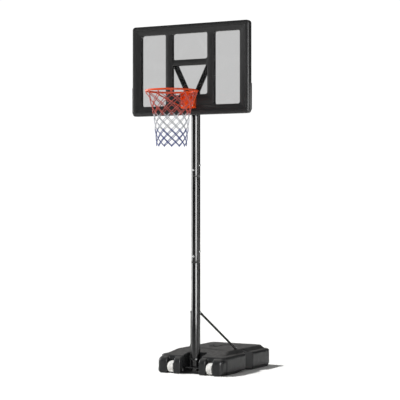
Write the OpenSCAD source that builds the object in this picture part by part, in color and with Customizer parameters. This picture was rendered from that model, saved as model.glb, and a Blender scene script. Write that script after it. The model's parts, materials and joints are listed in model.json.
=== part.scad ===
// Portable basketball hoop: a ballast base on two wheels, a telescoping steel
// pole in three sections, and a framed clear backboard with a fixed rim and net.
// X runs across the board, the players stand on the -Y side and +Z is up.
// The origin is on the floor, on the axis of the pole.

/* [Backboard] */
// Width of the backboard
board_w = 1120; // [1000:10:1400]
// Height of the backboard
board_h = 762; // [740:2:920]
// Depth of the frame from front to back
frame_depth = 50; // [44:1:64]
// Radius of the frame's outer corners
frame_corner_r = 28; // [15:1:36]
// Width of the raised bead round the frame's edge
bead_w = 38; // [30:1:46]
// Height of the bead above the rest of the frame's face
bead_rise = 6; // [3:0.5:9]
// Wall of the moulded frame
frame_wall = 4; // [3:0.5:6]
// Width of the frame member outside each side window
side_member_w = 85; // [70:1:120]
// Width of the upright member between a side window and the middle windows
mullion_w = 60; // [45:1:80]
// Width of the two middle windows
mid_window_w = 340; // [300:5:420]
// Height of the member above the windows
top_member_h = 77; // [60:1:100]
// Height of the member below the side windows
low_member_h = 80; // [60:1:100]
// Height of the cross rail between the middle windows
cross_rail_h = 49; // [40:1:60]
// Height of the upper middle window
top_window_h = 221; // [180:1:260]
// Corner radius of the windows
window_r = 18; // [6:1:24]
// Thickness of the clear panel
panel_t = 3; // [2.5:0.5:5]
// Height of the guards on the lower side edges of the frame
guard_h = 245; // [150:5:320]
// Thickness of those guards
guard_t = 9; // [6:1:12]

/* [Rim and net] */
// Height of the rim above the floor at its lowest setting
rim_h = 2350; // [2250:10:2600]
// Outside diameter of the rim ring
ring_d = 436; // [400:2:480]
// Diameter of the ring's bar
ring_bar_d = 16; // [14:0.5:19]
// Distance from the pole's axis to the middle of the ring
ring_reach = 400; // [380:5:440]
// Height of the rim above the board's lower edge
rim_above_edge = 181; // [172:1:190]
// Distance from the rim bolts out to the sides of the rim's bracket
bracket_side = 13.5; // [10:0.5:20]
// Height of the rim's bracket
bracket_h = 133; // [120:1:136]
// Distance the bracket stands out from the frame's face
bracket_out = 35; // [25:1:45]
// Sheet thickness of the rim's bracket
bracket_t = 4; // [3:0.5:5]
// Distance from the pole bracket's cheeks out to the rim bolts
rim_bolt_out = 8.2; // [8:0.1:12]
// Distance between the rim bolts up the board
rim_bolt_dz = 83; // [76:1:90]
// Diameter of the two rods under the rim
rim_brace_d = 8; // [6:0.5:10]
// Number of hooks for the net
hook_count = 12; // [8:1:12]
// Length of the net below its hooks
net_len = 432; // [380:5:480]
// Wall of the net's plain shape
net_wall = 3; // [2:0.5:5]

/* [Pole] */
// Outside diameter of all three pole sections
pole_d = 76; // [70:1:90]
// Wall of the tube
pole_wall = 2; // [1.5:0.25:2.5]
// Height of the lower joint between sections
low_seam = 945; // [850:5:1000]
// Height of the upper joint between sections
high_seam = 1670; // [1620:5:1720]
// Travel of each telescoping section
travel = 350; // [200:10:380]
// Length of neck that stays inside the section above at full travel
neck_grip = 100; // [80:5:140]
// Radial gap between a neck and the section that slides on it
neck_gap = 0.4; // [0.3:0.1:0.6]
// Height of the front clamp screw above its joint
front_screw_up = 40; // [30:1:60]
// Height of the side clamp screw above its joint
side_screw_up = 80; // [70:1:110]
// Height of the bolt that holds the struts to the pole
strut_bolt_h = 513; // [450:1:600]

/* [Base] */
// Width of the base
base_w = 630; // [560:5:760]
// Length of the base from its front lobes to its back
base_len = 910; // [840:5:1100]
// Distance from the pole's axis to the front of the lobes
base_front = 115; // [105:1:125]
// Height of the side walls
base_side_h = 155; // [145:1:170]
// Height of the raised top
base_top_h = 186; // [176:1:200]
// Wall of the moulded tank
tank_wall = 4; // [3:0.5:6]
// Width of the recess that the pole stands in
recess_w = 176; // [170:1:184]
// Depth of the pinched waist in each side
waist_depth = 62; // [40:1:66]
// Diameter of the filler hole
filler_d = 48; // [40:1:56]

/* [Wheels and struts] */
// Diameter of the wheels
wheel_d = 100; // [88:1:104]
// Width of the wheels
wheel_w = 55; // [48:1:60]
// Distance between the wheels' middles
wheel_track = 370; // [364:1:380]
// Height of the axle above the floor
axle_h = 54; // [53:1:58]
// Diameter of the axle
axle_d = 12; // [10:1:14]
// Outside diameter of the strut tubes
strut_d = 18; // [14:1:20]
// Distance of each strut's foot from the middle of the base
strut_foot_x = 217; // [205:1:222]
// Distance of each strut's foot behind the pole's axis
strut_foot_y = 307; // [295:1:335]

/* [Hidden] */
$fn = 64;

black = "#2b2b2b";
steel_black = "#1c1c1c";
orange = "#d9480f";
zinc = "#c4c7c9";
white = "#ececea";

eps = 0.5; // how far a cutting shape runs past the face that it cuts
bolt_fit = 0.2; // radial clearance round bolts
running_fit = 0.06; // radial clearance between axle and wheel

// Bolts and their heads
m8_d = 8;
m8_head_d = 13;
m8_head_h = 5.5;
m8_washer_d = 17;
m8_washer_t = 1.5;
m10_d = 10;
m10_head_d = 16;
m10_head_h = 6.5;

// Pole
pole_r = pole_d / 2;
tube_r = pole_r - pole_wall; // inside radius of a full-size section
neck_r = tube_r - neck_gap;
neck_len = travel + neck_grip;
swage_h = 14; // height over which a section narrows to its neck
seam_gap = 0.3; // between a section's lower end and the one below
tongue_h = 18; // thickness of the base's tongue that the pole stands on
foot_cap_t = 4;
pole_foot = tongue_h + foot_cap_t;
pole_top = rim_h + 25;

// Backboard planes, from front to back
frame_back = -pole_r - 26.5;
frame_front = frame_back - frame_depth;
field_y = frame_front + bead_rise; // face of the frame inside the bead
panel_back = frame_back - 2;
panel_front = panel_back - panel_t;
board_bottom = rim_h - rim_above_edge;
board_mid = board_bottom + board_h / 2;

boss_drill = 24; // depth of the blind holes in the frame's bosses
rim_boss_d = 22; // bosses round the rim bolts, the brace bolts and the panel's screws
brace_boss_d = 20;
screw_boss_d = 12;
screw_d = 4;
screw_len = 14;
screw_inset = 19; // of the panel's screws from the frame's edge
screw_across = 5; // screws along the top and along the bottom
screw_up = 4; // screws up each side, with the corners

// Windows
side_window_h = board_h - top_member_h - low_member_h;
side_window_w = (board_w - mid_window_w) / 2 - side_member_w - mullion_w;
side_window_x = mid_window_w / 2 + mullion_w + side_window_w / 2;
side_window_z = board_bottom + low_member_h + side_window_h / 2;
top_window_top = board_bottom + board_h - top_member_h;
cross_rail_top = top_window_top - top_window_h;
cross_rail_z = cross_rail_top - cross_rail_h / 2;
low_window_top = cross_rail_top - cross_rail_h;
bracket_top = rim_h + bracket_t;
low_window_bottom = bracket_top - 16; // the bracket's top laps the lower window
low_window_h = low_window_top - low_window_bottom;

// Cheeks of the bracket that joins the board to the pole
cheek_gap = 0.3; // between the cheeks and the pole
cheek_t = 4;
cheek_x = pole_r + cheek_gap;

// Rim
rim_bolt_x = cheek_x + cheek_t + rim_bolt_out;
bracket_w = 2 * (rim_bolt_x + bracket_side);
ring_r = (ring_d - ring_bar_d) / 2;
ring_y = -ring_reach;
bracket_front = field_y - bracket_out;
rim_bolt_z = bracket_top - bracket_h / 2;
brace_turn = 19; // how far behind the ring's widest point a rod is welded
hook_bend_r = 8;
hook_wire_d = 4;
net_top = rim_h - ring_bar_d / 2 - hook_bend_r - hook_wire_d / 2;
net_top_r = ring_r + 1.5;

// Bracket that joins the board to the pole
flange_w = bracket_w + 12;
flange_t = 4;
flange_back = panel_back + flange_t;
flange_bottom = board_bottom + 36;
brace_low = [50, rim_h + 20]; // X and Z of a board brace's lower bolt
brace_high = [mid_window_w / 2, cross_rail_z];
brace_end = 22; // length of a brace past its bolt
brace_w = 44;
brace_deep = 12;
brace_wall = 2;
pole_bolt_z = [rim_h - 110, rim_h - 30];

// Base
base_back = base_len - base_front;
lobe_back = -30; // inside the block
deck_front = -70;
recess_back = pole_r + 12;
axle_y = deck_front + 4;
wheel_x = wheel_track / 2;
well_gap = 2; // between a wheel's sides and its well
well_r = wheel_d / 2 + 7;
washer_t = well_gap - 0.4;
lobe_h = 140;
lobe_out = base_w / 2 - 5;
lobe_in = recess_w / 2;
plateau_x = base_w / 2 - 70;
plateau_front = 110;
plateau_back = base_back - 50;
waist_front = 290;
waist_back = 460;
arch_rise = 18;
arch_len = 280;
arch_y = 305;
tongue_front = 10 - base_front;
filler_x = -70;
filler_y = 410;
axle_end = lobe_out - 18;
cap_d = filler_d + 12;
cap_flange_t = 5;
seal_t = 1.6;
strap_z = 111;
strap_h = 30;
strap_t = 3;
strap_gap = 0.3; // between the strap and the pole
strap_bolt_x = pole_r + 23;
tab_t = 5; // thickness of a strut's flattened end
tab_r = 13;

// A round bar or tube from one point to another
module bar(from, to, d, bore = 0) {
    v = to - from;
    len = norm(v);
    translate(from) rotate([0, acos(v[2] / len), atan2(v[1], v[0])]) difference() {
        cylinder(d = d, h = len);
        if (bore > 0) translate([0, 0, -eps]) cylinder(d = bore, h = len + 2 * eps);
    }
}

// A rectangle with round corners, about the origin
module round_rect(w, h, r) {
    square([w, h - 2 * r], center = true);
    square([w - 2 * r, h], center = true);
    for (sx = [-1, 1], sy = [-1, 1])
        translate([sx * (w / 2 - r), sy * (h / 2 - r)]) circle(r);
}

// A flat slab with round corners, from plan corners (x0, y0) to (x1, y1)
module slab(x0, x1, y0, y1, z, h, r) {
    translate([(x0 + x1) / 2, (y0 + y1) / 2, z])
        linear_extrude(h) round_rect(x1 - x0, y1 - y0, r, $fn = 32);
}

// Lifts a drawing of the board, in X and Z, from its back plane towards -Y
module on_board(back, depth) {
    translate([0, back, 0]) rotate([90, 0, 0]) linear_extrude(depth) children();
}

// A bar along Y, from its back end towards -Y
module pin_y(x, z, back, len, d) {
    translate([x, back, z]) rotate([90, 0, 0]) cylinder(d = d, h = len);
}

// A bar along X, centred on the middle plane
module pin_x(y, z, len, d) {
    translate([-len / 2, y, z]) rotate([0, 90, 0]) cylinder(d = d, h = len);
}

// A hexagonal bolt head or nut standing on the XY plane
module hex(d, h) {
    cylinder(d = d / cos(30), h = h, $fn = 6);
}

// A hexagonal head facing -Y, with its seat at y
module hex_front(x, z, y, d, h) {
    translate([x, y, z]) rotate([90, 0, 0]) hex(d, h);
}

// A hexagonal head facing +Y, with its seat at y
module hex_back(x, z, y, d, h) {
    translate([x, y, z]) rotate([-90, 0, 0]) hex(d, h);
}

// A hexagonal head at distance x from the middle plane, facing away from it
module hex_side(side, x, y, z, d, h) {
    translate([side * x, y, z]) rotate([0, side * 90, 0]) hex(d, h);
}

// ---- Base ----

// The tank's block without its lobes, drawn in by a margin
module tank_block(inset = 0) {
    half = base_w / 2 - inset;
    front = deck_front + inset;
    back = base_back - inset;
    side_top = base_side_h - inset;
    hull() {
        slab(-half + 12, half - 12, front + 10, back - 12, inset, 1, 48);
        slab(-half, half, front, back, 26, side_top - 56, 60);
        slab(-half + 22, half - 22, front + 8, back - 20, side_top - 1, 1, 50);
    }
    ridge = plateau_x - inset;
    hull() {
        slab(-ridge - 40, ridge + 40, front + 18, back - 25, side_top - 4, 1, 50);
        slab(-ridge, ridge, plateau_front, plateau_back - inset, base_top_h - inset - 1, 1, 40);
    }
}

// One lobe beside a wheel, from x0 to x1, drawn in by a margin
module lobe(x0, x1, inset = 0) {
    r = 38 - inset;
    front = -base_front + inset;
    top = lobe_h - inset;
    translate([x0 + inset, 0, 0]) rotate([90, 0, 90]) linear_extrude(x1 - x0 - 2 * inset) {
        translate([front, inset]) square([lobe_back - front, top - r - inset]);
        translate([front + r, inset]) square([lobe_back - front - r, top - inset]);
        translate([front + r, top - r]) circle(r);
    }
}

// The lobes on both sides of both wheels
module lobes(inset = 0) {
    well_half = wheel_w / 2 + well_gap;
    for (side = [0, 1]) mirror([side, 0, 0]) {
        lobe(lobe_in, wheel_x - well_half, inset);
        lobe(wheel_x + well_half, lobe_out, inset);
    }
}

// The space round one wheel, open to the front and below, grown by a margin
module wheel_well(side, grow = 0) {
    half = wheel_w / 2 + well_gap + grow;
    r = well_r + grow;
    translate([side * wheel_x - half, axle_y, axle_h]) {
        rotate([0, 90, 0]) cylinder(r = r, h = 2 * half);
        translate([0, -r, -axle_h - eps]) cube([2 * half, 2 * r, axle_h + eps]);
        translate([0, -base_front, -axle_h - eps]) cube([2 * half, base_front, axle_h + r + eps]);
    }
}

// The V-shaped pinch in one side of the tank, grown by a margin
module waist(side, grow = 0) {
    half = base_w / 2;
    mid = (waist_front + waist_back) / 2;
    tip = 12 + grow;
    deep = half - waist_depth - grow;
    spread = 1.6 * grow;
    translate([0, 0, -eps]) linear_extrude(base_top_h + 2 * eps) polygon([
        [side * (half + eps), waist_front - spread], [side * deep, mid - tip],
        [side * deep, mid + tip], [side * (half + eps), waist_back + spread]
    ]);
}

// The recess that the pole stands in, from the given height up
module pole_recess(bottom, grow = 0) {
    translate([-recess_w / 2 - grow, -base_front - eps, bottom])
        cube([recess_w + 2 * grow, base_front + recess_back + grow + eps, base_top_h]);
}

// The shallow arch across the underside, grown by a margin
module arch(grow = 0) {
    r = (pow(arch_len / 2, 2) + pow(arch_rise, 2)) / (2 * arch_rise);
    pin_x(arch_y, arch_rise - r, base_w + 2 * eps, 2 * (r + grow));
}

// The tank's hollow, one wall inside its outside
module tank_hollow() {
    t = tank_wall;
    difference() {
        union() {
            tank_block(t);
            lobes(t);
        }
        pole_recess(-eps, t);
        arch(t);
        // solid round the axle's groove and round each bolt
        half = axle_d / 2 + t;
        translate([-base_w / 2, axle_y - half, -eps]) cube([base_w, 2 * half, axle_h + half]);
        for (side = [-1, 1]) {
            wheel_well(side, t);
            waist(side, t);
            translate([side * strut_foot_x, strut_foot_y, 0]) cylinder(r = 13, h = base_top_h);
            pin_y(side * strap_bolt_x, strap_z, recess_back + 12, 12, 18);
        }
    }
}

module base_tank() {
    foot_drill = m10_d + 2 * bolt_fit;
    groove_x = axle_end + 2;
    color(black) difference() {
        union() {
            tank_block();
            lobes();
        }
        tank_hollow();
        pole_recess(tongue_h);
        // in front of the tongue the recess is open to the floor
        translate([-recess_w / 2, -base_front - eps, -eps])
            cube([recess_w, base_front + tongue_front + eps, tongue_h + 2 * eps]);
        arch();
        for (side = [-1, 1]) {
            wheel_well(side);
            waist(side);
            translate([side * strut_foot_x, strut_foot_y, base_top_h - 34])
                cylinder(d = foot_drill, h = 34 + eps);
            pin_y(side * strap_bolt_x, strap_z, recess_back + 9, 9 + eps, m8_d + 2 * bolt_fit);
        }
        // groove that the axle snaps into from below
        pin_x(axle_y, axle_h, 2 * groove_x, axle_d + 2 * bolt_fit);
        translate([-groove_x, axle_y - axle_d / 2 + bolt_fit, -eps])
            cube([2 * groove_x, axle_d - 2 * bolt_fit, axle_h]);
        translate([filler_x, filler_y, base_side_h]) cylinder(d = filler_d, h = base_top_h);
    }
}

module axle_rod() {
    color(steel_black) pin_x(axle_y, axle_h, 2 * axle_end, axle_d);
}

module axle_washers() {
    color(zinc) for (side = [-1, 1], face = [-1, 1])
        translate([side * wheel_x + face * (wheel_w / 2 + well_gap / 2), axle_y, axle_h])
            rotate([0, 90, 0]) difference() {
                cylinder(d = axle_d + 14, h = washer_t, center = true);
                cylinder(d = axle_d + 2 * bolt_fit, h = washer_t + eps, center = true);
            }
}

// A moulded wheel: hub, thin web and a crowned tread
module wheel(side) {
    r = wheel_d / 2;
    w = wheel_w / 2;
    round = 7;
    bore_r = axle_d / 2 + running_fit;
    color(white) translate([side * wheel_x, axle_y, axle_h]) rotate([0, 90, 0]) {
        rotate_extrude() {
            difference() {
                union() {
                    translate([r - 13, -w]) square([13 - round, 2 * w]);
                    translate([r - round - 1, -w + round]) square([round + 1, 2 * w - 2 * round]);
                    for (end = [-1, 1]) translate([r - round, end * (w - round)]) circle(round);
                }
                translate([0, -w - eps]) square([r - 13, 2 * w + 2 * eps]);
            }
            translate([bore_r, -w]) square([7, 2 * w]);
            translate([bore_r + 6, -2.5]) square([r - 12 - bore_r - 6, 5]);
        }
        for (turn = [0:60:300]) rotate(turn)
            translate([bore_r + 6, -1.5, -w + 8]) cube([r - 12 - bore_r - 6, 3, 2 * w - 16]);
    }
}

module wheel_left() {
    wheel(-1);
}

module wheel_right() {
    wheel(1);
}

// Cap that screws into the filler hole, with finger ribs round its edge
module fill_cap() {
    seat = base_top_h + seal_t;
    color(black) translate([filler_x, filler_y, 0]) difference() {
        union() {
            translate([0, 0, seat]) cylinder(d = cap_d, h = cap_flange_t);
            translate([0, 0, seat - 20]) cylinder(d = filler_d - 1, h = 21);
            translate([-cap_d / 2 + 8, -3, seat + cap_flange_t]) cube([cap_d - 16, 6, 6]);
        }
        translate([0, 0, seat - 20 - eps]) cylinder(d = filler_d - 7, h = 18 + eps);
        for (turn = [0:30:330]) rotate(turn)
            translate([cap_d / 2 + 1.2, 0, seat - eps]) cylinder(r = 2.4, h = cap_flange_t + 2 * eps);
    }
}

// Flat ring that seals the cap against the tank
module fill_cap_seal() {
    color("#111111") translate([filler_x, filler_y, base_top_h]) difference() {
        cylinder(d = filler_d + 6, h = seal_t);
        translate([0, 0, -eps]) cylinder(d = filler_d - 0.4, h = seal_t + 2 * eps);
    }
}

// Steel strap that holds the pole in its recess
module pole_strap() {
    in_r = pole_r + strap_gap;
    out_r = in_r + strap_t;
    ear = strap_bolt_x + 13;
    color(steel_black) translate([0, 0, strap_z - strap_h / 2]) difference() {
        linear_extrude(strap_h) difference() {
            union() {
                circle(out_r);
                translate([-out_r, 0]) square([2 * out_r, recess_back]);
                translate([-ear, recess_back - strap_t]) square([2 * ear, strap_t]);
            }
            circle(in_r);
            translate([-in_r, 0]) square([2 * in_r, recess_back + eps]);
        }
        for (side = [-1, 1])
            pin_y(side * strap_bolt_x, strap_h / 2, recess_back + eps, strap_t + 2 * eps,
                  m8_d + 2 * bolt_fit);
    }
}

module pole_strap_bolts() {
    seat = recess_back - strap_t;
    color(zinc) for (side = [-1, 1]) {
        pin_y(side * strap_bolt_x, strap_z, recess_back + 8, 8 + strap_t, m8_d);
        hex_front(side * strap_bolt_x, strap_z, seat, m8_head_d, m8_head_h);
    }
}

// ---- Pole ----

// A section that narrows to a neck: full size from foot to seam, neck above
module necked_section(foot, seam, neck_top) {
    bore_r = neck_r - pole_wall;
    rotate_extrude() polygon([
        [tube_r, foot], [pole_r, foot], [pole_r, seam], [neck_r, seam],
        [neck_r, neck_top], [bore_r, neck_top], [bore_r, seam - swage_h / 2],
        [tube_r, seam - swage_h]
    ]);
}

module lower_pole() {
    color(steel_black) difference() {
        necked_section(pole_foot, low_seam, low_seam + neck_len);
        pin_x(0, strut_bolt_h, pole_d + 2, m10_d + 2 * bolt_fit);
    }
}

module pole_foot_cap() {
    color("#151515") {
        translate([0, 0, tongue_h]) cylinder(r = pole_r, h = foot_cap_t);
        translate([0, 0, tongue_h + 2]) cylinder(r = tube_r - 0.1, h = 22);
    }
}

// Holes for the front and side clamp screws of a section that starts at seam
module clamp_holes(seam) {
    d = m8_d + 2 * bolt_fit;
    pin_y(0, seam + front_screw_up, 0, pole_r + 2, d);
    translate([0, 0, seam + side_screw_up]) rotate([0, 90, 0]) cylinder(d = d, h = pole_r + 2);
}

// The front and side clamp screws, each ending at the tube's inside face
module clamp_screws(seam) {
    front_z = seam + front_screw_up;
    side_z = seam + side_screw_up;
    pin_y(0, front_z, -tube_r, pole_wall + 1, m8_d);
    pin_y(0, front_z, -pole_r, m8_washer_t, m8_washer_d);
    hex_front(0, front_z, -pole_r - m8_washer_t, m8_head_d, m8_head_h);
    translate([tube_r, 0, side_z]) rotate([0, 90, 0]) cylinder(d = m8_d, h = pole_wall + 1);
    translate([pole_r, 0, side_z]) rotate([0, 90, 0]) cylinder(d = m8_washer_d, h = m8_washer_t);
    hex_side(1, pole_r + m8_washer_t, 0, side_z, m8_head_d, m8_head_h);
}

module mid_pole() {
    color(steel_black) difference() {
        necked_section(low_seam + seam_gap, high_seam, high_seam + neck_len);
        clamp_holes(low_seam);
    }
}

module mid_clamp_screws() {
    color(zinc) clamp_screws(low_seam);
}

module upper_pole() {
    color(steel_black) difference() {
        translate([0, 0, high_seam + seam_gap]) cylinder(r = pole_r, h = pole_top - high_seam - seam_gap);
        translate([0, 0, high_seam]) cylinder(r = tube_r, h = pole_top - high_seam + eps);
        clamp_holes(high_seam);
        for (z = pole_bolt_z) pin_x(0, z, pole_d + 2, m10_d + 2 * bolt_fit);
    }
}

module upper_clamp_screws() {
    color(zinc) clamp_screws(high_seam);
}

module pole_top_cap() {
    color("#151515") {
        translate([0, 0, pole_top]) cylinder(r = pole_r, h = 3);
        translate([0, 0, pole_top - 18]) cylinder(r = tube_r - 0.1, h = 19);
    }
}

// ---- Struts ----

// A strut: tube with a flattened, drilled tab at each end
module strut() {
    top = [-pole_r - tab_t / 2 - 0.2, 0, strut_bolt_h];
    foot = [-strut_foot_x, strut_foot_y, base_top_h + tab_t / 2];
    run = foot - top;
    dir = run / norm(run);
    start = top + dir * 34;
    end = foot - dir * 34;
    color(steel_black) difference() {
        union() {
            bar(start, end, strut_d, strut_d - 3);
            hull() {
                translate(top) rotate([0, 90, 0]) cylinder(r = tab_r, h = tab_t, center = true, $fn = 32);
                bar(start + dir * 3, start + dir * 7, strut_d - 1, $fn = 32);
            }
            hull() {
                translate(foot) cylinder(r = tab_r, h = tab_t, center = true, $fn = 32);
                bar(end - dir * 7, end - dir * 3, strut_d - 1, $fn = 32);
            }
        }
        // bolt holes, and flat seats for the bolts' heads
        pin_x(0, strut_bolt_h, 4 * pole_d, m10_d + 2 * bolt_fit);
        translate([top[0] - tab_t / 2 - 30, 0, strut_bolt_h]) rotate([0, 90, 0])
            cylinder(d = m10_head_d + 6, h = 30);
        translate([foot[0], foot[1], base_top_h - eps]) cylinder(d = m10_d + 2 * bolt_fit, h = 60);
        translate([foot[0], foot[1], base_top_h + tab_t]) cylinder(d = m10_head_d + 6, h = 30);
    }
}

module strut_left() {
    strut();
}

module strut_right() {
    mirror([1, 0, 0]) strut();
}

module strut_pole_bolt() {
    reach = pole_r + 0.2 + tab_t;
    color(zinc) {
        pin_x(0, strut_bolt_h, 2 * reach + 22, m10_d);
        for (side = [-1, 1]) hex_side(side, reach, 0, strut_bolt_h, m10_head_d, m10_head_h);
    }
}

module strut_foot_bolts() {
    seat = base_top_h + tab_t;
    color(zinc) for (side = [-1, 1]) translate([side * strut_foot_x, strut_foot_y, 0]) {
        translate([0, 0, base_top_h - 32]) cylinder(d = m10_d, h = 32 + tab_t + 1);
        translate([0, 0, seat]) hex(m10_head_d, m10_head_h);
    }
}

// ---- Bracket and braces behind the board ----

module board_bracket() {
    cheek_back = 20;
    color(steel_black) difference() {
        union() {
            on_board(flange_back, flange_t)
                translate([-flange_w / 2, flange_bottom])
                    square([flange_w, brace_low[1] + brace_end - 6 - flange_bottom]);
            for (side = [0, 1]) mirror([side, 0, 0])
                translate([cheek_x, flange_back - 1, flange_bottom + 10])
                    cube([cheek_t, cheek_back - flange_back + 1, rim_h - flange_bottom - 15]);
        }
        rim_bolt_places() pin_y(0, 0, flange_back + eps, flange_t + 2 * eps, m8_d + 2 * bolt_fit);
        for (z = pole_bolt_z) pin_x(0, z, flange_w, m10_d + 2 * bolt_fit);
        for (side = [-1, 1])
            pin_y(side * brace_low[0], brace_low[1], flange_back + eps, flange_t + 2 * eps,
                  m8_d + 2 * bolt_fit);
    }
}

module bracket_pole_bolts() {
    reach = cheek_x + cheek_t;
    color(zinc) for (z = pole_bolt_z) {
        pin_x(0, z, 2 * reach + 20, m10_d);
        for (side = [-1, 1]) hex_side(side, reach, 0, z, m10_head_d, m10_head_h);
    }
}

// The four rim bolts' places
module rim_bolt_places() {
    for (sx = [-1, 1], sz = [-1, 1])
        translate([sx * rim_bolt_x, 0, rim_bolt_z + sz * rim_bolt_dz / 2]) children();
}

// A pressed channel from the bracket up to the cross rail, open to the back
module board_brace(side) {
    run = brace_high - brace_low;
    lean = atan2(run[0], run[1]);
    len = norm(run) + 2 * brace_end;
    front = flange_back;
    color(steel_black) difference() {
        translate([side * brace_low[0], front, brace_low[1]]) rotate([0, side * lean, 0])
            difference() {
                translate([-brace_w / 2, 0, -brace_end]) cube([brace_w, brace_deep, len]);
                translate([-brace_w / 2 + brace_wall, brace_wall, -brace_end - eps])
                    cube([brace_w - 2 * brace_wall, brace_deep, len + 2 * eps]);
            }
        for (at = [brace_low, brace_high])
            pin_y(side * at[0], at[1], front + brace_wall + eps, brace_wall + 2 * eps,
                  m8_d + 2 * bolt_fit);
    }
}

module board_brace_left() {
    board_brace(-1);
}

module board_brace_right() {
    board_brace(1);
}

// Spacers between the panel and the upper ends of the braces
module brace_spacers() {
    color("#151515") for (side = [-1, 1]) difference() {
        pin_y(side * brace_high[0], brace_high[1], flange_back, flange_t, 26);
        pin_y(side * brace_high[0], brace_high[1], flange_back + eps, flange_t + 2 * eps,
              m8_d + 2 * bolt_fit);
    }
}

module brace_bolts() {
    seat = flange_back + brace_wall;
    color(zinc) for (side = [-1, 1]) {
        hex_back(side * brace_high[0], brace_high[1], seat, m8_head_d, m8_head_h);
        pin_y(side * brace_high[0], brace_high[1], seat, seat - panel_front + boss_drill - 2, m8_d);
        hex_back(side * brace_low[0], brace_low[1], seat, m8_head_d, m8_head_h);
        pin_y(side * brace_low[0], brace_low[1], seat, brace_wall + flange_t, m8_d);
    }
}

// ---- Backboard ----

// Outlines of the four windows, grown by a margin
module windows(grow = 0) {
    r = window_r + grow;
    for (side = [-1, 1])
        translate([side * side_window_x, side_window_z])
            round_rect(side_window_w + 2 * grow, side_window_h + 2 * grow, r);
    translate([0, cross_rail_top + top_window_h / 2])
        round_rect(mid_window_w + 2 * grow, top_window_h + 2 * grow, r);
    translate([0, low_window_bottom + low_window_h / 2])
        round_rect(mid_window_w + 2 * grow, low_window_h + 2 * grow, r);
}

// The board's outline, drawn in by a margin
module board_outline(inset = 0) {
    translate([0, board_mid])
        round_rect(board_w - 2 * inset, board_h - 2 * inset, max(frame_corner_r - inset, 3));
}

// Places of the screws that hold the panel, along the frame's edge
module panel_screw_places() {
    span_x = board_w - 2 * (screw_inset + 20);
    span_z = board_h - 2 * (screw_inset + 20);
    for (i = [0:screw_across - 1], z = [board_bottom + screw_inset, board_bottom + board_h - screw_inset])
        translate([-span_x / 2 + span_x * i / (screw_across - 1), 0, z]) children();
    for (i = [1:screw_up - 2], side = [-1, 1])
        translate([side * (board_w / 2 - screw_inset), 0,
                   board_bottom + screw_inset + 20 + span_z * i / (screw_up - 1)]) children();
}

// Solid bosses inside the frame, each reaching the panel
module frame_bosses() {
    rim_bolt_places() pin_y(0, 0, panel_front, panel_front - field_y - 1, rim_boss_d);
    for (side = [-1, 1])
        pin_y(side * brace_high[0], brace_high[1], panel_front, panel_front - field_y - 1, brace_boss_d);
    panel_screw_places() pin_y(0, 0, panel_front, panel_front - frame_front - frame_wall + 1, screw_boss_d);
}

module backboard_frame() {
    color(black) difference() {
        union() {
            difference() {
                union() {
                    on_board(frame_back, frame_depth - bead_rise) board_outline();
                    on_board(field_y + 1, bead_rise + 1) difference() {
                        board_outline();
                        board_outline(bead_w);
                    }
                }
                // hollow behind the face, left standing round each window
                on_board(frame_back + eps, frame_depth - bead_rise - frame_wall + eps) difference() {
                    board_outline(frame_wall);
                    windows(frame_wall);
                }
                // hollow inside the bead
                on_board(field_y + frame_wall + 1, bead_rise + 1) difference() {
                    board_outline(frame_wall);
                    board_outline(bead_w - frame_wall);
                }
            }
            frame_bosses();
        }
        on_board(frame_back + eps, frame_depth + 2 * eps) windows();
        // seat of the panel
        on_board(frame_back + eps, frame_back - panel_front + eps) board_outline(frame_wall);
        rim_bolt_places() pin_y(0, 0, frame_back, frame_depth, m8_d + 2 * bolt_fit);
        for (side = [-1, 1])
            pin_y(side * brace_high[0], brace_high[1], panel_front + eps, boss_drill + eps,
                  m8_d + 2 * bolt_fit);
        panel_screw_places() pin_y(0, 0, panel_front + eps, screw_len + eps, screw_d + 2 * bolt_fit);
    }
}

module backboard_panel() {
    color("#c9cdd0") difference() {
        on_board(panel_back, panel_t) board_outline(frame_wall + 0.5);
        rim_bolt_places() pin_y(0, 0, panel_back + eps, panel_t + 2 * eps, m8_d + 2 * bolt_fit);
        for (side = [-1, 1])
            pin_y(side * brace_high[0], brace_high[1], panel_back + eps, panel_t + 2 * eps,
                  m8_d + 2 * bolt_fit);
        panel_screw_places() pin_y(0, 0, panel_back + eps, panel_t + 2 * eps, screw_d + 2 * bolt_fit);
    }
}

module panel_screws() {
    color(zinc) panel_screw_places() {
        pin_y(0, 0, panel_back + 1, 1 + panel_t + screw_len - 2, screw_d);
        pin_y(0, 0, panel_back + 2, 2, 9);
    }
}

// A soft-edged guard on one lower side edge of the frame
module edge_guard(side) {
    deep = 34;
    back = frame_back - 4;
    low = board_bottom + frame_corner_r;
    color("#1a1a1a") difference() {
        translate([side * board_w / 2, back - deep / 2, low])
            linear_extrude(guard_h - frame_corner_r) round_rect(2 * guard_t, deep, 5);
        translate([side * board_w / 2 - side * board_w / 4, back - deep / 2, low + guard_h / 2])
            cube([board_w / 2, deep + 2, 2 * guard_h], center = true);
    }
}

module edge_guard_left() {
    edge_guard(-1);
}

module edge_guard_right() {
    edge_guard(1);
}

// ---- Rim and net ----

module ring_solid() {
    translate([0, ring_y, rim_h]) rotate_extrude($fn = 96)
        translate([ring_r, 0]) circle(d = ring_bar_d, $fn = 32);
}

module rim_ring() {
    color(orange) ring_solid();
}

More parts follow.
